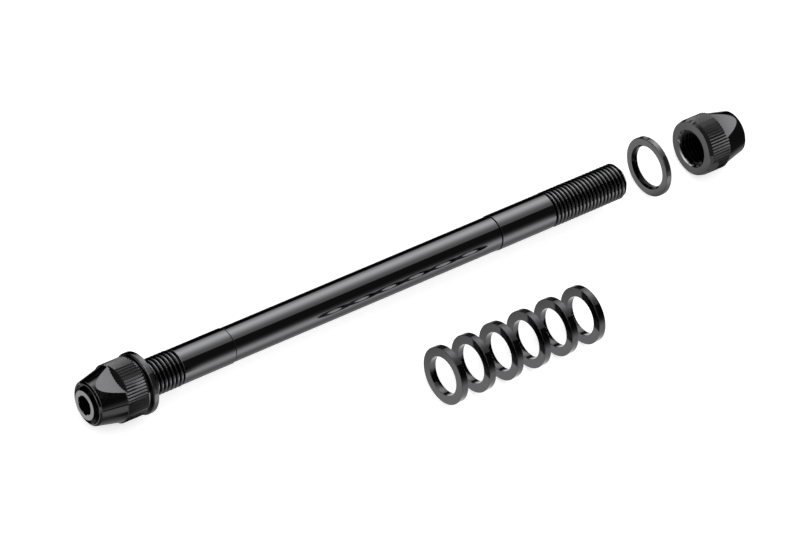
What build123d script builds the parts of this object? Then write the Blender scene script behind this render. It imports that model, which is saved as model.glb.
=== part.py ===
from build123d import *
import os
from math import cos, pi, sin

# A bicycle thru axle laid out in line, as a bench drawing shows it. The axle carries
# one cone nut and its washer on the left end. The other washer and cone nut are drawn
# off the right end along the same line, and six spacer rings stand in a row in front.
# Everything rests on one level: on the rims of the washers and of the spacers.
#
# Millimetres. X runs along the axle towards its long thread and Z is up. The origin is
# on the axle's axis, in the hub face of the left washer.

# Axle: radii of its turned lengths, and where each length ends along X
THREAD_R = 6.0
JOURNAL_R = 5.9
SHAFT_R = 5.7
LEFT_THREAD_END = 14.4
LEFT_JOURNAL_END = 32.4
RIGHT_JOURNAL_START = 138.6
RIGHT_THREAD_START = 160.6
AXLE_RIGHT_END = 191.0
END_CHAMFER = 1.2

# Hexagon key socket in the axle's left end
SOCKET_ACROSS_FLATS = 6.0
SOCKET_DEPTH = 8.0

# Washers
WASHER_R = 10.1
WASHER_BORE_R = 7.0
WASHER_THICK = 2.0
WASHER_COUNTERSINK = 0.65

# Cone nuts: lengths are measured from the face that meets the washer
NUT_LENGTH = 17.8
NUT_BORE_R = 6.05
NUT_MOUTH_CHAMFER = 0.5
NUT_NOSE_CHAMFER = 0.45
NUT_FACE_R = 9.2
COLLAR_LENGTH = 1.4
KNURL_CREST_R = 9.58
KNURL_ROOT_R = 9.15
KNURL_RIDGES = 58
KNURL_END = 9.0
CONE_BASE_R = 9.11
CONE_NOSE_R = 7.15
NOSE_BEVEL = 0.55
NUT_ACROSS_FLATS = 15.0
FLATS_START = 8.3

# The washer and the nut that are drawn off the right end
RIGHT_WASHER_HUB_FACE = 203.65
RIGHT_NUT_FACE = 222.65

# Spacer rings: a row in front of the axle, level with the washers underneath
SPACER_COUNT = 6
SPACER_R = 9.6
SPACER_BORE_R = 6.5
SPACER_THICK = 2.5
SPACER_FIRST_X = 90.1
SPACER_PITCH = 11.15
SPACER_ROW_Y = -39.0
SPACER_ROW_Z = SPACER_R - WASHER_R

LEFT_NUT_FACE = -WASHER_THICK
AXLE_PROUD = 1.0
AXLE_LEFT_END = LEFT_NUT_FACE - NUT_LENGTH - AXLE_PROUD
TO_LEFT = -1
TO_RIGHT = 1


def save(builder, name):
    """Label a finished piece and write it to its own file."""
    builder.part.label = name
    export_step(builder.part, f"parts/{name}.step")


def across(x, y=0.0, z=0.0):
    """Plane square to the axle at x, with its own X along Y and its own Y along Z."""
    return Plane(origin=(x, y, z), x_dir=(0, 1, 0), z_dir=(1, 0, 0))


def make_axle():
    """Turned rod: two threaded ends, two journals, a slimmer shaft and a key socket."""
    with BuildPart() as axle:
        with BuildSketch(Plane.XY):
            with BuildLine():
                Polyline(
                    (AXLE_LEFT_END, 0),
                    (AXLE_LEFT_END, THREAD_R - END_CHAMFER),
                    (AXLE_LEFT_END + END_CHAMFER, THREAD_R),
                    (LEFT_THREAD_END, THREAD_R),
                    (LEFT_THREAD_END + THREAD_R - JOURNAL_R, JOURNAL_R),
                    (LEFT_JOURNAL_END, JOURNAL_R),
                    (LEFT_JOURNAL_END, SHAFT_R),
                    (RIGHT_JOURNAL_START, SHAFT_R),
                    (RIGHT_JOURNAL_START, JOURNAL_R),
                    (RIGHT_THREAD_START - THREAD_R + JOURNAL_R, JOURNAL_R),
                    (RIGHT_THREAD_START, THREAD_R),
                    (AXLE_RIGHT_END - END_CHAMFER, THREAD_R),
                    (AXLE_RIGHT_END, THREAD_R - END_CHAMFER),
                    (AXLE_RIGHT_END, 0),
                    close=True,
                )
            make_face()
        revolve(axis=Axis.X)
        # The socket has a flat at the top and one at the bottom, level with the nuts' flats.
        with BuildSketch(across(AXLE_LEFT_END)):
            RegularPolygon(SOCKET_ACROSS_FLATS / 2, 6, major_radius=False)
        extrude(amount=SOCKET_DEPTH, mode=Mode.SUBTRACT)
    save(axle, "axle")


def make_washer(name, hub_face, away):
    """Flat ring, countersunk in its hub face, with its body on the away side."""
    with BuildPart() as washer:
        with BuildSketch(across(hub_face)):
            Circle(WASHER_R)
            Circle(WASHER_BORE_R, mode=Mode.SUBTRACT)
        extrude(amount=away * WASHER_THICK)
        bore_rims = washer.edges().filter_by(GeomType.CIRCLE).sort_by(SortBy.RADIUS)[:2]
        hub_rim = bore_rims.sort_by(Axis.X, reverse=away == TO_LEFT)[0]
        chamfer(hub_rim, WASHER_COUNTERSINK)
    save(washer, name)


def knurl_ring():
    """Points of the knurled band's section, a crest and a root in turn."""
    step = pi / KNURL_RIDGES
    radii = (KNURL_CREST_R, KNURL_ROOT_R)
    return [
        (radii[i % 2] * cos(i * step), radii[i % 2] * sin(i * step))
        for i in range(2 * KNURL_RIDGES)
    ]


def make_cone_nut(name, face, nose):
    """Cone nut: tapered collar, straight-knurled band and a cone with two spanner flats.

    The face that meets the washer is at face, and nose says which way the cone points.
    """
    def station(length):
        return face + nose * length

    with BuildPart() as nut:
        with BuildSketch(Plane.XY):
            with BuildLine():
                Polyline(
                    (station(0), 0),
                    (station(0), NUT_FACE_R),
                    (station(COLLAR_LENGTH), KNURL_CREST_R),
                    (station(COLLAR_LENGTH), KNURL_ROOT_R),
                    (station(KNURL_END), KNURL_ROOT_R),
                    (station(KNURL_END), CONE_BASE_R),
                    (station(NUT_LENGTH), CONE_NOSE_R),
                    (station(NUT_LENGTH), 0),
                    close=True,
                )
            make_face()
        revolve(axis=Axis.X)
        with BuildSketch(across(station(COLLAR_LENGTH))):
            with BuildLine():
                Polyline(*knurl_ring(), close=True)
            make_face()
        extrude(amount=nose * (KNURL_END - COLLAR_LENGTH))

        # The flats start in the end of the knurled band and run out through the cone.
        flat_length = NUT_LENGTH - FLATS_START
        flat_middle = station(FLATS_START + flat_length / 2)
        flat_height = NUT_ACROSS_FLATS / 2 + KNURL_CREST_R / 2
        with Locations((flat_middle, 0, flat_height), (flat_middle, 0, -flat_height)):
            Box(flat_length, 2 * KNURL_CREST_R, KNURL_CREST_R, mode=Mode.SUBTRACT)

        nose_rims = nut.edges().filter_by(GeomType.CIRCLE).sort_by(Axis.X, reverse=nose == TO_LEFT)
        chamfer(nose_rims[-1], NOSE_BEVEL)

        with BuildSketch(Plane.XY):
            with BuildLine():
                Polyline(
                    (station(0), 0),
                    (station(0), NUT_BORE_R + NUT_MOUTH_CHAMFER),
                    (station(NUT_MOUTH_CHAMFER), NUT_BORE_R),
                    (station(NUT_LENGTH - NUT_NOSE_CHAMFER), NUT_BORE_R),
                    (station(NUT_LENGTH), NUT_BORE_R + NUT_NOSE_CHAMFER),
                    (station(NUT_LENGTH), 0),
                    close=True,
                )
            make_face()
        revolve(axis=Axis.X, mode=Mode.SUBTRACT)
    save(nut, name)


def make_spacer(number):
    """Plain ring standing on its rim in its place in the row."""
    face = SPACER_FIRST_X + (number - 1) * SPACER_PITCH
    with BuildPart() as spacer:
        with BuildSketch(across(face, SPACER_ROW_Y, SPACER_ROW_Z)):
            Circle(SPACER_R)
            Circle(SPACER_BORE_R, mode=Mode.SUBTRACT)
        extrude(amount=SPACER_THICK)
    save(spacer, f"spacer_{number}")


os.makedirs("parts", exist_ok=True)
make_axle()
make_washer("left_washer", 0.0, TO_LEFT)
make_cone_nut("left_nut", LEFT_NUT_FACE, TO_LEFT)
make_washer("right_washer", RIGHT_WASHER_HUB_FACE, TO_RIGHT)
make_cone_nut("right_nut", RIGHT_NUT_FACE, TO_RIGHT)
for spacer_number in range(1, SPACER_COUNT + 1):
    make_spacer(spacer_number)
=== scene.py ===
import bpy
import numpy as np
from mathutils import Matrix


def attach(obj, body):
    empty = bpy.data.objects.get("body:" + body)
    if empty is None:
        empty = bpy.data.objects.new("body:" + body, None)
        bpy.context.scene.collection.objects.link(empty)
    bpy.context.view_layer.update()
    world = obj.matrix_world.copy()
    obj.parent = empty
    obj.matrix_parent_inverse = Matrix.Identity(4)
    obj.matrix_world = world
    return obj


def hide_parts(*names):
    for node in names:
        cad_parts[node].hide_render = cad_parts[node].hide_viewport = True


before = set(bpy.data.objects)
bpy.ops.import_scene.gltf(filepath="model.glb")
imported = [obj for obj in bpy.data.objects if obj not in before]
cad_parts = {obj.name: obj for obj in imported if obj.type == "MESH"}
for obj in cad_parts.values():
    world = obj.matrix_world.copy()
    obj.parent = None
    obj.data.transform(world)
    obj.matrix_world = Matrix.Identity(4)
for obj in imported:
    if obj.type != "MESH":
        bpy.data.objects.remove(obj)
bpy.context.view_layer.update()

# Sizes in millimetres, as in the part's source. X runs along the axle, Z is up.
MM = 0.001
TURN = 2 * np.pi
FLOOR_Z = -10.1

CREST = 6.0
JOURNAL = 5.9
SHAFT = 5.7
AXLE_LEFT = -20.8
LEFT_JOURNAL_END = 32.4
RIGHT_JOURNAL_START = 138.6
RIGHT_THREAD_START = 160.6
AXLE_RIGHT = 191.0
END_R = 4.8
SOCKET_HALF = 3.0
SOCKET_DEPTH = 8.0

WASHER_R = 10.1
WASHER_BORE = 7.0
WASHER_THICK = 2.0
COUNTERSINK = 7.65
LEFT_WASHER_FACE = 0.0
RIGHT_WASHER_FACE = 203.65

NUT_LENGTH = 17.8
NUT_MOUTH = 6.55
NUT_NOSE_MOUTH = 6.5
NUT_FACE_R = 9.2
COLLAR_LENGTH = 1.4
KNURL_CREST = 9.58
KNURL_RIDGES = 58
KNURL_END = 9.0
FLATS_START = 8.3
HALF_FLATS = 7.5
CONE_BASE = 9.11
CONE_NOSE = 7.15
NOSE_BEVEL = 0.55
LEFT_NUT_FACE = -WASHER_THICK
RIGHT_NUT_FACE = 222.65
TO_LEFT = -1
TO_RIGHT = 1

SPACER_COUNT = 6
SPACER_R = 9.6
SPACER_BORE = 6.5
SPACER_THICK = 2.5
SPACER_FIRST = 90.1
SPACER_PITCH = 11.15
SPACER_CENTRE = (-39.0, -0.5)

# Fine forms that only the scene has. A flank's foot and width are shares of the pitch, and its ease
# is a share of the thread's height.
PITCH = 1.5
ROOT = 5.1
FLANK_FOOT = 0.47
FLANK_WIDTH = 0.31
FLANK_EASE = 0.08
LEFT_THREAD_END = 12.9
RELIEF_SLOPE = 2.5
GROOVE = 5.55
GROOVE_WIDTH = 0.35
SOCKET_MOUTH = 3.267
NUT_GROOVE = 6.06
MOUTH_STEP = (0.43, 6.3)
FACE_GAP = 0.01
KNURL_ROOT = 9.2
KNURL_RUN_OUT = 0.2
TIP_LENGTH = 1.0
SPACER_EASE = 0.16
# The way from the right nut's place to the one on the thread that its bore is cut for
RIGHT_NUT_TRAVEL = 49.25

# Points round a piece, and the shares of a pitch or of a ridge at which it has points
AXLE_COLUMNS = 108
RING_COLUMNS = 160
ROD_SHARES = (
    0.0, 0.03, 0.055, 0.18, 0.31, 0.34, 0.365, 0.5, 0.635, 0.66, 0.69, 0.82, 0.945, 0.97,
)
BORE_SHARES = (0.0, 0.05, 0.18, 0.31, 0.365, 0.5, 0.635, 0.69, 0.82, 0.95)
KNURL_SHARES = (0.0, 0.04, 0.25, 0.48, 0.5, 0.52, 0.75, 0.96)

# Points within WELD metres are one point. A cell under SPECK square metres takes the direction of
# its whole sheet, and TINY and LEAST_SINE keep divisors from zero.
WELD = 1e-7
SPECK = 1e-15
TINY = 1e-30
LEAST_SINE = 1e-6


def around(columns):
    """Evenly spaced angles round the axle, from +Y towards +Z."""
    return TURN * np.arange(columns) / columns


def spread(rows):
    """Evenly spaced shares from 0 to 1, one to a row."""
    return np.linspace(0, 1, rows)[:, None]


def turned(x, r, angle, centre=(0.0, 0.0)):
    """Grid of points round a line along X: y = r cos(angle), z = r sin(angle), from the centre."""
    x, r, angle = np.broadcast_arrays(x, r, angle)
    y, z = centre[0] + r * np.cos(angle), centre[1] + r * np.sin(angle)
    return MM * np.stack((x, y, z), -1)


def facing(grid, closed):
    """Unit normals of a grid: its differences round the axle crossed with those along its rows.

    Where a row shrinks to a point, the sum of the whole grid's normals stands in.
    """
    along = np.gradient(grid, axis=0, edge_order=2)
    if closed:
        across = np.roll(grid, -1, 1) - np.roll(grid, 1, 1)
    else:
        across = np.gradient(grid, axis=1, edge_order=2)
    normal = np.cross(across, along)
    size = np.linalg.norm(normal, axis=-1, keepdims=True)
    total = normal.sum((0, 1))
    total /= max(np.linalg.norm(total), TINY)
    return np.where(size > SPECK, normal / np.maximum(size, TINY), total)


def skin(grid, closed=True, normal=None):
    """One smooth sheet of a piece: its points, the normals on it, and whether it closes round."""
    normals = facing(grid, closed) if normal is None else np.broadcast_to(normal, grid.shape)
    return grid, normals, closed


def rounded_runs(section, closed, steps=7):
    """Section as rows of (x, r) points: arcs in its corners, and the straight runs between them.

    A row of the section is a corner's x and r and the radius that eases it. An arc of radius R in a
    corner of angle g starts R / tan(g / 2) from it on both sides, and its points turn evenly about
    the centre, which lies R / sin(g / 2) along the bisector.
    """
    section = np.asarray(section, float)
    corners, radii = section[:, :2], section[:, 2]
    count = len(corners)
    starts, ends, runs = corners.copy(), corners.copy(), []
    share = spread(steps)
    for i in np.flatnonzero(radii):
        back = corners[i - 1] - corners[i]
        ahead = corners[(i + 1) % count] - corners[i]
        back /= np.linalg.norm(back)
        ahead /= np.linalg.norm(ahead)
        half = np.arccos(back @ ahead) / 2
        starts[i] = corners[i] + back * radii[i] / np.tan(half)
        ends[i] = corners[i] + ahead * radii[i] / np.tan(half)
        bisector = (back + ahead) / np.linalg.norm(back + ahead)
        centre = corners[i] + bisector * radii[i] / np.sin(half)
        sweep = np.pi - 2 * half
        first, last = starts[i] - centre, ends[i] - centre
        spoke = np.sin((1 - share) * sweep) * first + np.sin(share * sweep) * last
        runs.append(centre + spoke / np.sin(sweep))
    for i in range(count if closed else count - 1):
        runs.append(np.linspace(ends[i], starts[(i + 1) % count], 3))
    return runs


def lathe(section, angle, centre=(0.0, 0.0), closed=True):
    """Sheets of a turned form: each run of its rounded section swept round the X line at centre."""
    return [
        skin(turned(run[:, :1], run[:, 1:], angle, centre))
        for run in rounded_runs(section, closed)
    ]


def cells(index):
    """Four-cornered faces between the rows and columns of a grid of point numbers."""
    corners = (index[:-1, :-1], index[:-1, 1:], index[1:, 1:], index[1:, :-1])
    return np.stack(corners, -1).reshape(-1, 4)


def piece(name, skins, material):
    """One closed mesh from sheets that meet edge to edge.

    Equal points are welded, faces that shrink to a line are dropped, and every face corner keeps
    the normal of its own sheet, so that edges between sheets stay crisp and the sheets stay smooth.
    """
    points = np.concatenate([grid.reshape(-1, 3) for grid, _, _ in skins])
    normals = np.concatenate([normal.reshape(-1, 3) for _, normal, _ in skins])
    quads, start = [], 0
    for grid, _, closed in skins:
        rows, columns = grid.shape[:2]
        index = start + np.arange(rows * columns).reshape(rows, columns)
        start += rows * columns
        if closed:
            index = np.concatenate((index, index[:, :1]), 1)
        quads.append(cells(index))
    quads = np.concatenate(quads)
    places = np.round(points / WELD).astype(np.int64)
    _, first, welded = np.unique(places, axis=0, return_index=True, return_inverse=True)
    faces = welded.reshape(-1)[quads]
    kept = faces != np.roll(faces, 1, 1)
    real = kept.sum(1) > 2
    quads, faces, kept = quads[real], faces[real], kept[real]
    sizes = kept.sum(1)
    starts = np.cumsum(sizes) - sizes
    mesh = bpy.data.meshes.new(name)
    mesh.vertices.add(len(first))
    mesh.vertices.foreach_set("co", points[first].astype(np.float32).ravel())
    mesh.loops.add(int(sizes.sum()))
    mesh.loops.foreach_set("vertex_index", faces[kept].astype(np.int32))
    mesh.polygons.add(len(sizes))
    mesh.polygons.foreach_set("loop_start", starts.astype(np.int32))
    mesh.polygons.foreach_set("use_smooth", np.ones(len(sizes), bool))
    mesh.update(calc_edges=True)
    mesh.normals_split_custom_set(normals[quads[kept]])
    mesh.materials.append(material)
    made = bpy.data.objects.new(name, mesh)
    bpy.context.scene.collection.objects.link(made)
    return made


def stand_for(made, node, body):
    """The piece rides on the body of the CAD node that it stands for, and that node is hidden."""
    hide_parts(node)
    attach(made, body)


def eased_lesser(first, second, ease):
    """The lesser of two values, with the corner between them rounded over the given ease."""
    near = np.maximum(ease - np.abs(first - second), 0.0)
    return np.minimum(first, second) - near ** 2 / (4 * ease)


def thread_height(x, angle):
    """Height on a right-handed thread, from 0 at its root to 1 at its crest.

    The place in a pitch is x / pitch less the share of a turn. Straight flanks fall from a crest a
    third of the pitch wide to a narrow root, and the corners are slightly eased.
    """
    place = (x / PITCH - angle / TURN) % 1.0
    flank = (FLANK_FOOT - np.abs(place - 0.5)) / FLANK_WIDTH
    below_crest = eased_lesser(flank, 1.0, FLANK_EASE)
    return -eased_lesser(-below_crest, 0.0, FLANK_EASE)


def helix_rows(low, high, shares):
    """Places along a thread in pitches: the same shares of each, from below low to above high."""
    pitches = np.arange(np.floor(low / PITCH) - 1, np.ceil(high / PITCH) + 1)
    return (pitches[:, None] + np.asarray(shares)).ravel()


def wound(low, high, angle, shares):
    """Stations of rows that climb with the thread, kept within its ends.

    They are x = pitch (place + share of a turn). The last column is one turn on from the first, so
    it meets the first column one pitch further on.
    """
    turns = np.append(angle, TURN)
    x = PITCH * (helix_rows(low, high, shares)[:, None] + turns / TURN)
    return np.clip(x, low, high), turns


def threaded_length(start, end, bare_end, angle):
    """Thread between two stations, bevelled at the rod's bare end and relieved at the other.

    The radius is the least of the thread's, of a 45 degree cone from the bare end, and of a steep
    cone from the root at the inner end.
    """
    x, turns = wound(start, end, angle, ROD_SHARES)
    inner = start + end - bare_end
    r = ROOT + (CREST - ROOT) * thread_height(x, turns)
    r = np.minimum(r, END_R + np.abs(x - bare_end))
    r = np.minimum(r, ROOT + RELIEF_SLOPE * np.abs(x - inner))
    return skin(turned(x, r, turns), closed=False)


def key_socket(angle):
    """Hexagon socket in the left end, with flats at the top and bottom and a countersunk mouth.

    Its wall is at half the width over flats, divided by the cosine of the angle from the nearest
    flat's middle. A light 45 degree countersink cuts the flats and leaves the corners, and the end
    face runs from there to the rod's bevel.
    """
    sixth = TURN / 6
    wall = SOCKET_HALF / np.cos(angle % sixth - sixth / 2)
    floor = AXLE_LEFT + SOCKET_DEPTH
    rim = np.maximum(wall, SOCKET_MOUTH)
    mouth = AXLE_LEFT + rim - wall
    down = spread(4)
    skins = [
        skin(turned(floor, wall * down, angle)),
        skin(turned(mouth + (AXLE_LEFT - mouth) * down, wall + (rim - wall) * down, angle)),
        skin(turned(AXLE_LEFT, rim + (END_R - rim) * down, angle)),
    ]
    per_flat = len(angle) // 6
    for flat in range(6):
        columns = (per_flat * flat + np.arange(per_flat + 1)) % len(angle)
        x = floor + (mouth[columns] - floor) * down
        skins.append(skin(turned(x, wall[columns], angle[columns]), closed=False))
    return skins


def axle(material):
    """Turned rod between its two threads, with a fine groove beside each journal.

    A key socket is in the left end, and the right end is plain.
    """
    angle = around(AXLE_COLUMNS)
    body = [
        (LEFT_THREAD_END, ROOT, 0.0),
        (LEFT_THREAD_END, JOURNAL, 0.16),
        (LEFT_JOURNAL_END, JOURNAL, 0.06),
        (LEFT_JOURNAL_END, GROOVE, 0.04),
        (LEFT_JOURNAL_END + GROOVE_WIDTH, GROOVE, 0.04),
        (LEFT_JOURNAL_END + GROOVE_WIDTH, SHAFT, 0.05),
        (RIGHT_JOURNAL_START - GROOVE_WIDTH, SHAFT, 0.05),
        (RIGHT_JOURNAL_START - GROOVE_WIDTH, GROOVE, 0.04),
        (RIGHT_JOURNAL_START, GROOVE, 0.04),
        (RIGHT_JOURNAL_START, JOURNAL, 0.06),
        (RIGHT_THREAD_START, JOURNAL, 0.16),
        (RIGHT_THREAD_START, ROOT, 0.0),
    ]
    skins = key_socket(angle)
    skins.append(threaded_length(AXLE_LEFT, LEFT_THREAD_END, AXLE_LEFT, angle))
    skins += lathe(body, angle, closed=False)
    skins.append(threaded_length(RIGHT_THREAD_START, AXLE_RIGHT, AXLE_RIGHT, angle))
    skins.append(skin(turned(AXLE_RIGHT, END_R * spread(4)[::-1], angle)))
    return piece("axle_rod", skins, material)


def washer(name, hub_face, away, material):
    """Ring with eased edges and a 45 degree countersink in the face that meets the hub."""
    section = [
        (0.0, COUNTERSINK, 0.06),
        (0.0, WASHER_R, 0.3),
        (WASHER_THICK, WASHER_R, 0.3),
        (WASHER_THICK, WASHER_BORE, 0.12),
        (COUNTERSINK - WASHER_BORE, WASHER_BORE, 0.1),
    ]
    section = [(hub_face + away * x, r, ease) for x, r, ease in section][::away]
    return piece(name, lathe(section, around(RING_COLUMNS)), material)


def spacer(number, material):
    """Plain ring with eased edges, standing in its place in the row."""
    face = SPACER_FIRST + (number - 1) * SPACER_PITCH
    section = [
        (face, SPACER_BORE, SPACER_EASE),
        (face, SPACER_R, SPACER_EASE),
        (face + SPACER_THICK, SPACER_R, SPACER_EASE),
        (face + SPACER_THICK, SPACER_BORE, SPACER_EASE),
    ]
    skins = lathe(section, around(RING_COLUMNS), SPACER_CENTRE)
    return piece(f"spacer_ring_{number}", skins, material)


def knurl(angle):
    """Radius of the straight knurl: evenly spaced triangular ridges, with one at angle 0."""
    place = (KNURL_RIDGES * angle / TURN + 0.5) % 1.0
    return KNURL_CREST - 2 * (KNURL_CREST - KNURL_ROOT) * np.abs(place - 0.5)


def cone_nut(name, face, nose, travel, material):
    """Cone nut: tapered collar, knurled band, cone with two spanner flats, nose and threaded bore.

    A flat is the plane at half the width over flats, so its radius is that half divided by the sine
    of the angle. It starts inside the end of the knurled band and ends where the cone has come down
    to it. The bore follows the axle's own thread where the nut sits after its travel, with a little
    clearance, and it opens in a 45 degree chamfer at both ends, which turns steeper towards the
    washer.
    """
    edge = np.arcsin(HALF_FLATS / CONE_BASE)
    places = np.arange(KNURL_RIDGES)[:, None] + np.asarray(KNURL_SHARES)
    angle = (TURN / KNURL_RIDGES * places).ravel()
    limits = (edge, np.pi - edge, np.pi + edge, TURN - edge)
    marks = [int(np.argmin(np.abs(angle - limit))) for limit in limits]
    angle[marks] = limits
    taper = (CONE_BASE - CONE_NOSE) / (NUT_LENGTH - KNURL_END)
    reach = HALF_FLATS / np.maximum(np.abs(np.sin(angle)), LEAST_SINE)
    ridges = knurl(angle)
    milled = np.minimum(ridges, reach)
    cut = np.minimum(reach, CONE_BASE)
    leave = KNURL_END + (CONE_BASE - cut) / taper
    down = spread(3)

    def sheet(s, r, turns=angle, closed=True, normal=None):
        """Sheet at lengths s from the face, with its rows reversed on a nut that points left."""
        grid = turned(face + nose * s, r, turns)
        return skin(grid if nose > 0 else grid[::-1], closed, normal)

    def between(s_from, s_to, r_from, r_to):
        """Straight sheet from one length and radius to another."""
        return sheet(s_from + (s_to - s_from) * down, r_from + (r_to - r_from) * down)

    def swept(section):
        """Sheets of a rounded section swept round the nut."""
        return [sheet(run[:, :1], run[:, 1:]) for run in rounded_runs(section, closed=False)]

    collar = [
        (FACE_GAP, NUT_MOUTH, 0.0),
        (FACE_GAP, NUT_FACE_R, 0.15),
        (COLLAR_LENGTH, KNURL_CREST, 0.0),
    ]
    full_ridge = COLLAR_LENGTH + KNURL_RUN_OUT
    ridge_end = KNURL_END - KNURL_RUN_OUT
    skins = swept(collar)
    skins.append(between(COLLAR_LENGTH, full_ridge, KNURL_CREST, ridges))
    skins.append(between(full_ridge, FLATS_START, ridges, ridges))
    skins.append(sheet(FLATS_START, ridges + (milled - ridges) * down, normal=(nose, 0.0, 0.0)))
    skins.append(between(FLATS_START, ridge_end, milled, milled))
    skins.append(between(ridge_end, KNURL_END, milled, cut))

    for first, last, up in ((marks[0], marks[1], 1.0), (marks[2], marks[3], -1.0)):
        columns = np.arange(first, last + 1)
        s = KNURL_END + (leave[columns] - KNURL_END) * spread(9)
        skins.append(sheet(s, cut[columns], angle[columns], False, (0.0, 0.0, up)))

    lean = np.arctan(taper)
    bevel_start = NUT_LENGTH - NOSE_BEVEL * np.cos(lean)
    cone_end = NUT_LENGTH - TIP_LENGTH
    s = leave + (cone_end - leave) * spread(9)
    skins.append(sheet(s, CONE_BASE - taper * (s - KNURL_END)))
    skins += swept([
        (cone_end, CONE_BASE - taper * (cone_end - KNURL_END), 0.0),
        (bevel_start, CONE_NOSE + NOSE_BEVEL * np.sin(lean), 0.2),
        (NUT_LENGTH, CONE_NOSE - NOSE_BEVEL, 0.05),
        (NUT_LENGTH, NUT_NOSE_MOUTH, 0.0),
    ])

    def bore_radius(x, turns):
        """The axle's thread carried out to the groove of the nut's."""
        return NUT_GROOVE + (CREST - ROOT) * (thread_height(x, turns) - 1.0)

    step, step_r = MOUTH_STEP
    first, last = step + step_r - NUT_GROOVE, NUT_LENGTH - (NUT_NOSE_MOUTH - NUT_GROOVE)
    ends = [face + nose * s - travel for s in (first, last)]
    x, turns = wound(*sorted(ends), angle, BORE_SHARES)
    s = nose * (x + travel - face)
    skins.append(sheet(s[::-nose], bore_radius(x, turns)[::-nose], turns, False))
    inner = bore_radius(ends[0], angle)
    skins.append(sheet(first, inner + (NUT_GROOVE - inner) * down, normal=(-nose, 0.0, 0.0)))
    skins.append(between(first, step, NUT_GROOVE, step_r))
    skins.append(between(step, FACE_GAP, step_r, NUT_MOUTH))
    inner = bore_radius(ends[1], angle)
    skins.append(between(NUT_LENGTH, last, NUT_NOSE_MOUTH, NUT_GROOVE))
    skins.append(sheet(last, NUT_GROOVE + (inner - NUT_GROOVE) * down, normal=(nose, 0.0, 0.0)))
    return piece(name, skins, material)


# Finishes. The colour sockets of a mix node come at these places among its sockets.
MIX_FIRST, MIX_SECOND, MIX_RESULT = 6, 7, 2
RING_STRETCH = 0.004
MARK_DEPTH = 0.00002
END_SHARPNESS = 4000.0
EDGE_SHARPNESS = 25000.0
NO_INNER_RADIUS = -1.0
ONE_OVER_E = 0.36788


def feed(tree, socket, value):
    """Gives a socket the output of another node, or a plain value."""
    if isinstance(value, bpy.types.NodeSocket):
        tree.links.new(value, socket)
    else:
        socket.default_value = value


def maths(tree, operation, *values, clamp=False):
    """Output of a maths node on the given sockets and numbers."""
    node = tree.nodes.new("ShaderNodeMath")
    node.operation = operation
    node.use_clamp = clamp
    for socket, value in zip(node.inputs, values):
        feed(tree, socket, value)
    return node.outputs["Value"]


def noise(tree, place, settings):
    """Output of a noise node at a place, with its other inputs by name."""
    node = tree.nodes.new("ShaderNodeTexNoise")
    tree.links.new(place, node.inputs["Vector"])
    for label, value in settings.items():
        feed(tree, node.inputs[label], value)
    return node.outputs["Fac"]


def blend(tree, factor, first, second):
    """Colour between two others: the first where the factor is 0 and the second where it is 1."""
    node = tree.nodes.new("ShaderNodeMix")
    node.data_type = "RGBA"
    feed(tree, node.inputs["Factor"], factor)
    feed(tree, node.inputs[MIX_FIRST], first)
    feed(tree, node.inputs[MIX_SECOND], second)
    return node.outputs[MIX_RESULT]


def node_group(name, inputs, outputs):
    """Empty shader group with the named sockets; returns it with its input and output nodes."""
    group = bpy.data.node_groups.new(name, "ShaderNodeTree")
    for label, kind, value in inputs:
        socket = group.interface.new_socket(name=label, in_out="INPUT", socket_type=kind)
        if value is not None:
            socket.default_value = value
    for label, kind in outputs:
        group.interface.new_socket(name=label, in_out="OUTPUT", socket_type=kind)
    return group, group.nodes.new("NodeGroupInput"), group.nodes.new("NodeGroupOutput")


def turning_marks_group():
    """Fine rings that a lathe tool leaves: noise drawn out round the axle, for height and gloss."""
    group, given, made = node_group(
        "turning marks",
        [
            ("Place", "NodeSocketVector", None),
            ("Rings per metre", "NodeSocketFloat", 6000.0),
            ("Gloss", "NodeSocketFloat", 0.12),
            ("Gloss change", "NodeSocketFloat", 0.05),
        ],
        [("Height", "NodeSocketFloat"), ("Roughness", "NodeSocketFloat")],
    )
    place, gloss = given.outputs["Place"], given.outputs["Gloss"]
    pace, change = given.outputs["Rings per metre"], given.outputs["Gloss change"]
    drawn_out = group.nodes.new("ShaderNodeVectorMath")
    drawn_out.operation = "MULTIPLY"
    drawn_out.inputs[1].default_value = (1.0, RING_STRETCH, RING_STRETCH)
    group.links.new(place, drawn_out.inputs[0])
    ring_settings = {"Scale": pace, "Detail": 3.0, "Roughness": 0.55}
    rings = noise(group, drawn_out.outputs["Vector"], ring_settings)
    patches = noise(group, place, {"Scale": 160.0, "Detail": 2.0})
    both = maths(group, "MULTIPLY", rings, patches)
    group.links.new(rings, made.inputs["Height"])
    group.links.new(maths(group, "MULTIPLY_ADD", both, change, gloss), made.inputs["Roughness"])
    return group


def anodised_tone_group():
    """Slow drift between two near-black tones, as an anodised batch has."""
    group, given, made = node_group(
        "anodised tone",
        [
            ("Place", "NodeSocketVector", None),
            ("Deep", "NodeSocketColor", (0.1, 0.1, 0.1, 1.0)),
            ("Pale", "NodeSocketColor", (0.12, 0.12, 0.12, 1.0)),
        ],
        [("Tone", "NodeSocketColor")],
    )
    drift = noise(group, given.outputs["Place"], {"Scale": 45.0, "Detail": 3.0})
    tone = blend(group, drift, given.outputs["Deep"], given.outputs["Pale"])
    group.links.new(tone, made.inputs["Tone"])
    return group


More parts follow.
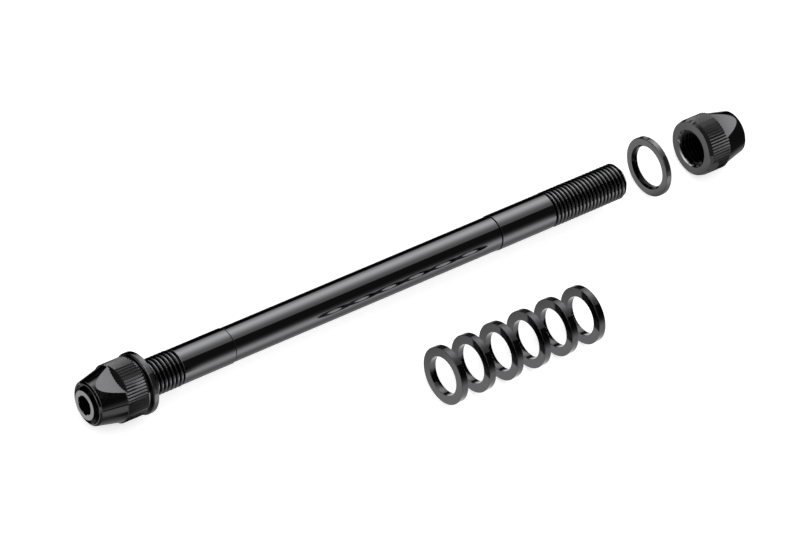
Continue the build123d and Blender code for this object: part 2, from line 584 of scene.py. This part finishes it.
def painted_recess_shade_group():
    """Painted shade: near black painted into bores, grooves and end bevels, between two radii round
    the axle's line.

    The outer radius grows to the end radius beyond the end distance from the middle.
    """
    group, given, made = node_group(
        "painted recess shade",
        [
            ("Place", "NodeSocketVector", None),
            ("Tone", "NodeSocketColor", (0.1, 0.1, 0.1, 1.0)),
            ("Painted shade tone", "NodeSocketColor", (0.008, 0.008, 0.0085, 1.0)),
            ("Inner radius", "NodeSocketFloat", 0.0),
            ("Outer radius", "NodeSocketFloat", 0.006),
            ("End radius", "NodeSocketFloat", 0.006),
            ("Middle", "NodeSocketFloat", 0.1),
            ("End distance", "NodeSocketFloat", 0.1),
        ],
        [("Tone", "NodeSocketColor")],
    )
    outputs = given.outputs
    split = group.nodes.new("ShaderNodeSeparateXYZ")
    group.links.new(outputs["Place"], split.inputs["Vector"])
    x, y, z = (split.outputs[axis] for axis in "XYZ")
    radius = maths(group, "SQRT", maths(group, "MULTIPLY_ADD", y, y, maths(group, "POWER", z, 2.0)))
    off = maths(group, "ABSOLUTE", maths(group, "SUBTRACT", x, outputs["Middle"]))
    past = maths(group, "SUBTRACT", off, outputs["End distance"])
    at_end = maths(group, "MULTIPLY", past, END_SHARPNESS, clamp=True)
    growth = maths(group, "SUBTRACT", outputs["End radius"], outputs["Outer radius"])
    outer = maths(group, "MULTIPLY_ADD", growth, at_end, outputs["Outer radius"])
    under = maths(group, "SUBTRACT", outer, radius)
    over = maths(group, "SUBTRACT", radius, outputs["Inner radius"])
    below = maths(group, "MULTIPLY", under, EDGE_SHARPNESS, clamp=True)
    above = maths(group, "MULTIPLY", over, EDGE_SHARPNESS, clamp=True)
    within = maths(group, "MULTIPLY", below, above)
    tone = blend(group, within, outputs["Tone"], outputs["Painted shade tone"])
    group.links.new(tone, made.inputs["Tone"])
    return group


def placed(tree, group, place, values):
    """Outputs of a node group in a material, at a place on the piece and with its own values."""
    node = tree.nodes.new("ShaderNodeGroup")
    node.node_tree = group
    tree.links.new(place, node.inputs["Place"])
    for label, value in values.items():
        feed(tree, node.inputs[label], value)
    return node.outputs


def black_metal(name, groups, deep, pale, rings, gloss, change, bump, recess=None):
    """Black anodised metal: dark reflecting metal with its own tone drift and turning marks.

    Recess gives the radii and places, in metres, of the painted shade: near black painted into
    bores and grooves.
    """
    marks, tones, shade = groups
    material = bpy.data.materials.new(name)
    material.use_nodes = True
    tree = material.node_tree
    shader = tree.nodes["Principled BSDF"]
    shader.inputs["Metallic"].default_value = 1.0
    place = tree.nodes.new("ShaderNodeTexCoord").outputs["Object"]
    colour = placed(tree, tones, place, {"Deep": (*deep, 1.0), "Pale": (*pale, 1.0)})["Tone"]
    # Painted shade: bores and grooves are painted near black in place of the shade that falls in
    # them.
    if recess:
        colour = placed(tree, shade, place, {"Tone": colour, **recess})["Tone"]
    mark_values = {"Rings per metre": rings, "Gloss": gloss, "Gloss change": change}
    lines = placed(tree, marks, place, mark_values)
    relief = tree.nodes.new("ShaderNodeBump")
    relief.inputs["Strength"].default_value = bump
    relief.inputs["Distance"].default_value = MARK_DEPTH
    tree.links.new(lines["Height"], relief.inputs["Height"])
    tree.links.new(colour, shader.inputs["Base Color"])
    tree.links.new(lines["Roughness"], shader.inputs["Roughness"])
    tree.links.new(relief.outputs["Normal"], shader.inputs["Normal"])
    return material


# Studio, in metres and degrees, and in millimetres for the height of the sheen over the floor. An
# angle goes from overhead to the back, round the axle's line.
CARD_RADIUS = 0.8
ROOM_RADIUS = 2.0
ROOM_REACH = 6.0
FLOOR_REACH = 4.0
SHEEN_HEIGHT = 0.1
FLOOR_LEAN = 0.555
FLOOR_NEARING = -0.6826
AIR_STRENGTH = 1.05
FLOOR_GLOW = 0.62


def stage_card(name, grid, material, camera=False, diffuse=False):
    """Card of the studio from a grid of points. It is no part of the object."""
    rows, columns = grid.shape[:2]
    faces = cells(np.arange(rows * columns).reshape(rows, columns))
    mesh = bpy.data.meshes.new(name)
    mesh.from_pydata(grid.reshape(-1, 3).tolist(), [], faces.tolist())
    mesh.materials.append(material)
    card = bpy.data.objects.new(name, mesh)
    bpy.context.scene.collection.objects.link(card)
    card.visible_camera = camera
    card.visible_diffuse = diffuse
    card.visible_shadow = camera


def level_card(name, reach, z, material, **seen):
    """Level square card that reaches as far from the origin along x as along y."""
    side = np.linspace(-reach, reach, 3)
    y, x = np.meshgrid(side, side, indexing="ij")
    stage_card(name, np.stack((x, y, np.full_like(x, z)), -1), material, **seen)


def upright_card(name, x_ends, y, z_ends, material):
    """Upright card along the axle, between two ends in x and two in z."""
    x, z = np.meshgrid(np.linspace(*x_ends, 3), np.linspace(*z_ends, 3), indexing="ij")
    stage_card(name, np.stack((x, np.full_like(x, y), z), -1), material)


def curved_card(name, x_ends, angles, material, radius=CARD_RADIUS):
    """Part of a cylinder round the axle's line: y = R sin(a), z = R cos(a), between two angles."""
    turn = np.radians(np.linspace(*angles, 49))
    a, x = np.meshgrid(turn, np.linspace(*x_ends, 3), indexing="ij")
    stage_card(name, np.stack((x, radius * np.sin(a), radius * np.cos(a)), -1), material)


class LightMaterial:
    """Light whose strength is worked out from the place on its card, by maths nodes."""

    def __init__(self, name):
        self.material = bpy.data.materials.new(name)
        self.material.use_nodes = True
        self.tree = self.material.node_tree
        self.tree.nodes.clear()
        place = self.tree.nodes.new("ShaderNodeTexCoord")
        split = self.tree.nodes.new("ShaderNodeSeparateXYZ")
        self.tree.links.new(place.outputs["Object"], split.inputs["Vector"])
        self.x, self.y, self.z = (split.outputs[axis] for axis in "XYZ")

    def maths(self, operation, *values):
        """Output of a maths node in this light."""
        return maths(self.tree, operation, *values)

    def eased(self, value, low, high, first, last):
        """Goes smoothly from first to last while the value goes from low to high."""
        node = self.tree.nodes.new("ShaderNodeMapRange")
        node.interpolation_type = "SMOOTHSTEP"
        labels = ("Value", "From Min", "From Max", "To Min", "To Max")
        for label, given in zip(labels, (value, low, high, first, last)):
            feed(self.tree, node.inputs[label], given)
        return node.outputs["Result"]

    def within(self, value, rise_from, rise_to, fall_from, fall_to):
        """Rises smoothly from 0 to 1, and falls to 0 again further on."""
        rise = self.eased(value, rise_from, rise_to, 0.0, 1.0)
        return self.maths("MULTIPLY", rise, self.eased(value, fall_from, fall_to, 1.0, 0.0))

    def towards(self, first, second, share):
        """The first strength where the share is 0, and the second where it is 1."""
        step = self.maths("SUBTRACT", second, first)
        return self.maths("MULTIPLY_ADD", step, share, first)

    def shine(self, strength):
        """Ends the material with a light of the given strength."""
        light = self.tree.nodes.new("ShaderNodeEmission")
        self.tree.links.new(strength, light.inputs["Strength"])
        output = self.tree.nodes.new("ShaderNodeOutputMaterial")
        self.tree.links.new(light.outputs["Emission"], output.inputs["Surface"])
        return self.material


def card_light(name, fade, level, peak, middle, width):
    """Light strongest at one angle round the axle, which fades in and out along x.

    The strength is level + peak exp(-((a - middle) / width) squared), with a the angle.
    """
    light = LightMaterial(name)
    off = light.maths("SUBTRACT", light.maths("ARCTAN2", light.y, light.z), np.radians(middle))
    off = light.maths("DIVIDE", off, np.radians(width))
    fall = light.maths("POWER", ONE_OVER_E, light.maths("MULTIPLY", off, off))
    strength = light.maths("MULTIPLY_ADD", fall, peak, level)
    return light.shine(light.maths("MULTIPLY", strength, light.within(light.x, *fade)))


def floor_sheen_light():
    """How bright the floor is in the metal.

    A place in front is shown at (x + lean y) / (1 + nearing y) along the axle's line. The floor is
    bright beside the rod, dim beside the nuts, and less dim beside the left cone. Behind the line
    it is lit only where the end faces see it.
    """
    light = LightMaterial("floor sheen")
    leaning = light.maths("MULTIPLY_ADD", light.y, FLOOR_LEAN, light.x)
    nearing = light.maths("MULTIPLY_ADD", light.y, FLOOR_NEARING, 1.0)
    shown_at = light.maths("DIVIDE", leaning, nearing)
    beside_rod = light.eased(light.y, -0.042, -0.010, 1.7, 0.45)
    beside_nuts = light.eased(light.y, -0.024, -0.010, 0.04, 0.35)
    beside_cone = light.eased(light.y, -0.045, -0.018, 0.57, 0.12)
    cone = light.eased(shown_at, -0.026, -0.021, 1.0, 0.0)
    rod = light.within(shown_at, -0.0082, -0.0068, 0.2035, 0.2055)
    front = light.towards(light.towards(beside_nuts, beside_cone, cone), beside_rod, rod)
    left_end = light.eased(light.x, -0.0235, -0.0215, 1.8, 0.12)
    right_rise = light.eased(light.x, 0.184, 0.188, 0.0, 1.0)
    right_end = light.maths("MULTIPLY", right_rise, light.eased(light.x, 0.2, 0.214, 1.0, 0.6))
    ends = light.maths("ADD", left_end, right_end)
    back = light.maths("MULTIPLY", ends, light.eased(light.y, 0.026, 0.029, 1.0, 0.0))
    return light.shine(light.towards(front, back, light.eased(light.y, -0.007, -0.002, 0.0, 1.0)))


def room_light(name, front, back):
    """Light that goes evenly from one strength at the front of the room to another at the back."""
    light = LightMaterial(name)
    return light.shine(light.eased(light.y, -ROOM_RADIUS, ROOM_RADIUS, front, back))


def floor_material():
    """Pale floor that also glows a little, so that shadows on it stay faint."""
    material = bpy.data.materials.new("pale floor")
    material.use_nodes = True
    tree = material.node_tree
    shader = tree.nodes["Principled BSDF"]
    shader.inputs["Roughness"].default_value = 0.9
    shader.inputs["Specular IOR Level"].default_value = 0.0
    shader.inputs["Emission Strength"].default_value = FLOOR_GLOW
    place = tree.nodes.new("ShaderNodeTexCoord").outputs["Object"]
    cloud = noise(tree, place, {"Scale": 3.0})
    tone = blend(tree, cloud, (0.84, 0.84, 0.84, 1.0), (0.86, 0.86, 0.86, 1.0))
    tree.links.new(tone, shader.inputs["Base Color"])
    tree.links.new(tone, shader.inputs["Emission Color"])
    return material


def lit_card(name, angles, fade, x_ends=None, **strengths):
    """Curved card with its own light, ending where that has faded unless its ends are given."""
    light = card_light(f"{name} light".replace("_", " "), fade, **strengths)
    curved_card(f"{name}_card", x_ends or (fade[0], fade[-1]), angles, light)


def studio():
    """Pale floor and air for the floor's own light, and cards that only the metal reflects."""
    world = bpy.data.worlds.new("studio")
    bpy.context.scene.world = world
    world.use_nodes = True
    air = world.node_tree.nodes["Background"]
    air.inputs["Color"].default_value = (1.0, 1.0, 1.0, 1.0)
    air.inputs["Strength"].default_value = AIR_STRENGTH
    world.cycles_visibility.glossy = False
    level_card("floor", FLOOR_REACH, FLOOR_Z * MM, floor_material(), camera=True, diffuse=True)
    level_card("floor_sheen", FLOOR_REACH, (FLOOR_Z + SHEEN_HEIGHT) * MM, floor_sheen_light())

    # The rod and its threads
    over_rod = (0.4385, 0.4387, 0.85, 1.15)
    overhead = card_light("overhead light", over_rod, level=0.5, peak=2.4, middle=43.0, width=27.0)
    curved_card("overhead_card", (0.4385, 0.786), (-14.0, 79.0), overhead)
    curved_card("overhead_far_card", (0.83, 1.2), (-14.0, 79.0), overhead)
    lit_card("front", (-89.2, -55.0), (0.462, 0.466, 0.69, 0.7), (0.45, 0.75),
             level=0.05, peak=1.5, middle=-95.0, width=17.0)

    # The knurls and the washers' rims
    left_knurl = (0.427, 0.4273, 0.4383, 0.4385)
    lit_card("left_knurl", (8.0, 89.0), left_knurl,
             level=0.95, peak=0.5, middle=70.0, width=12.0)
    lit_card("left_knurl_mid", (-50.0, 8.0), left_knurl,
             level=0.22, peak=0.45, middle=4.0, width=16.0)
    lit_card("left_knurl_low", (-88.0, -50.0), (0.427, 0.4273, 0.4425, 0.443),
             level=0.2, peak=0.85, middle=-84.0, width=13.0)
    lit_card("right_rim", (-88.0, -14.0), (0.75, 0.752, 0.784, 0.786),
             level=0.15, peak=0.9, middle=-88.0, width=14.0)
    right_knurl = (0.786, 0.7865, 0.801, 0.8015)
    lit_card("right_knurl", (-40.0, 70.0), right_knurl,
             level=0.6, peak=0.12, middle=-10.0, width=25.0)
    lit_card("right_knurl_low", (-62.0, -40.0), right_knurl,
             level=0.15, peak=0.2, middle=-40.0, width=12.0)

    # The spanner flats and the right nut's collar
    lit_card("left_flat", (-14.0, 50.0), (0.40, 0.405, 0.4268, 0.427),
             level=1.75, peak=0.4, middle=27.0, width=12.0)
    lit_card("right_flat", (-14.0, 50.0), (0.8015, 0.802, 0.828, 0.83),
             level=1.8, peak=0.4, middle=27.0, width=12.0)
    lit_card("collar", (-88.0, 89.0), (0.27, 0.28, 0.399, 0.40),
             level=0.1, peak=0.93, middle=72.0, width=24.0)
    collar_fill = room_light("collar fill", 0.45, 0.45)
    upright_card("collar_fill_card", (0.2225, 0.232), -0.016, (-0.01, 0.006), collar_fill)
    collar_back = room_light("collar back", 0.85, 0.85)
    upright_card("collar_back_card", (0.238, 0.256), 0.06, (-0.01, 0.012), collar_back)

    # The cones, bevels, mouths and end faces
    left_side, left_side_ends = (0.0, 0.005, 0.06, 0.16), (0.0, 0.2)
    lit_card("left_back", (20.0, 84.0), left_side, left_side_ends,
             level=0.15, peak=4.0, middle=66.0, width=20.0)
    lit_card("left_front", (-84.0, -20.0), left_side, left_side_ends,
             level=0.02, peak=0.4, middle=-90.0, width=14.0)
    lit_card("top", (-19.0, 19.0), (0.085, 0.1, 0.25, 0.268),
             level=0.3, peak=0.9, middle=0.0, width=14.0)
    lit_card("mouth", (-88.0, 84.0), (-0.25, -0.2, -0.005, 0.0),
             level=0.6, peak=5.4, middle=15.0, width=42.0)
    lit_card("left_end", (-62.0, 60.0), (-1.25, -0.75, -0.455, -0.45),
             level=0.3, peak=1.5, middle=0.0, width=45.0)
    lit_card("right_front", (-84.0, -25.0), (0.78, 0.84, 1.0, 1.2), (0.8015, 1.2),
             level=0.08, peak=0.8, middle=-70.0, width=18.0)

    room = room_light("room light", 0.035, 0.05)
    curved_card("room_card", (-ROOM_REACH, ROOM_REACH), (-90.0, 90.0), room, ROOM_RADIUS)
    bpy.context.scene.view_settings.view_transform = "Standard"


# Camera: its place in millimetres, and the ways that its back and its right side face
CAMERA_PLACE = (-813.3, -663.7, 1306.0)
CAMERA_BACK = (-0.52992, -0.38501, 0.75562)
CAMERA_RIGHT = (0.78109, -0.56859, 0.25807)
LENS = 247.5
SENSOR_WIDTH = 36.0


def photo_camera():
    """Long lens from above the left front, rolled as the photograph shows the axle."""
    lens = bpy.data.cameras.new("photo_camera")
    lens.sensor_width = SENSOR_WIDTH
    lens.lens = LENS
    lens.clip_start, lens.clip_end = 0.05, 20.0
    camera = bpy.data.objects.new("photo_camera", lens)
    bpy.context.scene.collection.objects.link(camera)
    back, right = np.array(CAMERA_BACK), np.array(CAMERA_RIGHT)
    back /= np.linalg.norm(back)
    right -= back * (right @ back)
    right /= np.linalg.norm(right)
    axes = np.eye(4)
    axes[:3, 0], axes[:3, 1], axes[:3, 2] = right, np.cross(back, right), back
    axes[:3, 3] = np.array(CAMERA_PLACE) * MM
    camera.matrix_world = Matrix(axes.tolist())
    bpy.context.scene.camera = camera


groups = turning_marks_group(), anodised_tone_group(), painted_recess_shade_group()
# Where each piece gets painted shade: the axle's thread grooves, journal grooves and end bevels,
# the nuts' bores and nose bevels, the washers' bores and countersinks.
axle_painted_shade = {
    "Inner radius": 0.00482,
    "Outer radius": 0.00566,
    "End radius": 0.00602,
    "Middle": 0.0851,
    "End distance": 0.10458,
}
nut_painted_shade = {
    "Inner radius": NO_INNER_RADIUS,
    "Outer radius": 0.0061,
    "End radius": 0.00653,
    "Middle": 0.11033,
    "End distance": 0.1294,
}
washer_painted_shade = {
    "Inner radius": NO_INNER_RADIUS,
    "Outer radius": 0.00768,
    "End radius": 0.00768,
}
axle_black = black_metal(
    "axle black", groups, deep=(0.112, 0.112, 0.116), pale=(0.122, 0.122, 0.125),
    rings=5200.0, gloss=0.045, change=0.04, bump=0.02, recess=axle_painted_shade,
)
nut_black = black_metal(
    "nut black", groups, deep=(0.108, 0.108, 0.111), pale=(0.12, 0.12, 0.123),
    rings=4200.0, gloss=0.05, change=0.04, bump=0.02, recess=nut_painted_shade,
)
washer_black = black_metal(
    "washer black", groups, deep=(0.095, 0.095, 0.098), pale=(0.11, 0.11, 0.113),
    rings=4800.0, gloss=0.06, change=0.06, bump=0.03, recess=washer_painted_shade,
)
spacer_black = black_metal(
    "spacer black", groups, deep=(0.05, 0.05, 0.052), pale=(0.06, 0.06, 0.062),
    rings=4800.0, gloss=0.06, change=0.06, bump=0.03,
)

rod = axle(axle_black)
left_ring = washer("left_washer_ring", LEFT_WASHER_FACE, TO_LEFT, washer_black)
left_cone = cone_nut("left_cone_nut", LEFT_NUT_FACE, TO_LEFT, 0.0, nut_black)
right_ring = washer("right_washer_ring", RIGHT_WASHER_FACE, TO_RIGHT, washer_black)
right_cone = cone_nut("right_cone_nut", RIGHT_NUT_FACE, TO_RIGHT, RIGHT_NUT_TRAVEL, nut_black)
stand_for(rod, "axle", "axle")
stand_for(left_ring, "left_washer", "left_washer")
stand_for(left_cone, "left_nut", "left_nut")
stand_for(right_ring, "right_washer", "right_washer")
stand_for(right_cone, "right_nut", "right_nut")
for number in range(1, SPACER_COUNT + 1):
    stand_for(spacer(number, spacer_black), f"spacer_{number}", "axle")

studio()
photo_camera()
